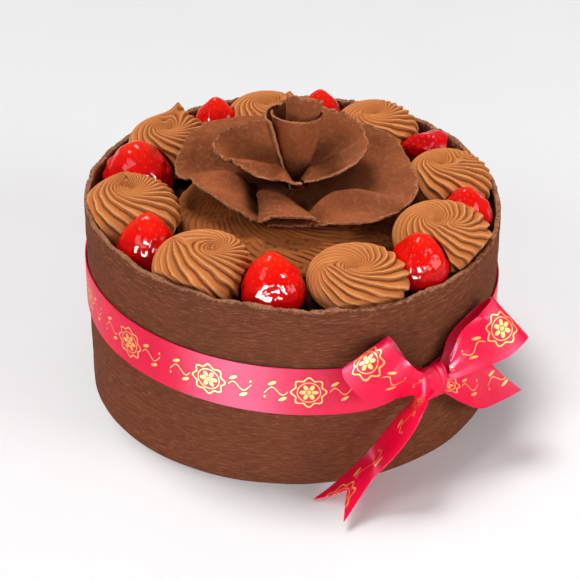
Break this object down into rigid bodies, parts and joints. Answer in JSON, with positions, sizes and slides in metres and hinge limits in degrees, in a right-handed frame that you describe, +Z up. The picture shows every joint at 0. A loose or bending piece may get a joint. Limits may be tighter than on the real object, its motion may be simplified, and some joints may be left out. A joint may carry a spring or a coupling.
{
  "type": "strawberry chocolate gateau",
  "caption": "Round chocolate gateau in a chocolate band, topped with piped cream, glazed strawberries and a chocolate rose, tied with a satin ribbon and bow.",
  "frame": {"origin": "centre of the cake's flat underside", "axes": "+Z up, -Y towards the front with the bow at its right"},
  "size_m": [0.2129, 0.2336, 0.1532],
  "materials": {
    "cake_chocolate": "dark glossy chocolate",
    "band_chocolate": "milk chocolate sheet with a fine grain",
    "cream": "satin piped chocolate cream",
    "rose_chocolate": "satin milk chocolate",
    "strawberry": "glazed, glossy",
    "ribbon_satin": "satin"
  },
  "bodies": {
    "root": {"cake_body": "cake_chocolate", "chocolate_band": "band_chocolate", "cream_mound": "cream", "rosette_1": "cream", "rosette_2": "cream", "rosette_3": "cream", "rosette_4": "cream", "rosette_5": "cream", "rosette_6": "cream", "rosette_7": "cream", "rosette_8": "cream", "strawberry_1": "strawberry", "strawberry_2": "strawberry", "strawberry_3": "strawberry", "strawberry_4": "strawberry", "strawberry_5": "strawberry", "strawberry_6": "strawberry", "strawberry_7": "strawberry", "strawberry_8": "strawberry", "rose_petal_low_left": "rose_chocolate", "rose_petal_low_right": "rose_chocolate", "rose_petal_low_front": "rose_chocolate", "rose_petal_mid_left": "rose_chocolate", "rose_petal_mid_right": "rose_chocolate", "rose_cone": "rose_chocolate", "rose_core": "rose_chocolate", "ribbon_band": "ribbon_satin", "bow_knot": "ribbon_satin", "bow_loop_left": "ribbon_satin", "bow_loop_right": "ribbon_satin", "bow_tail_short": "ribbon_satin", "bow_tail_long": "ribbon_satin"}
  },
  "joints": []
}
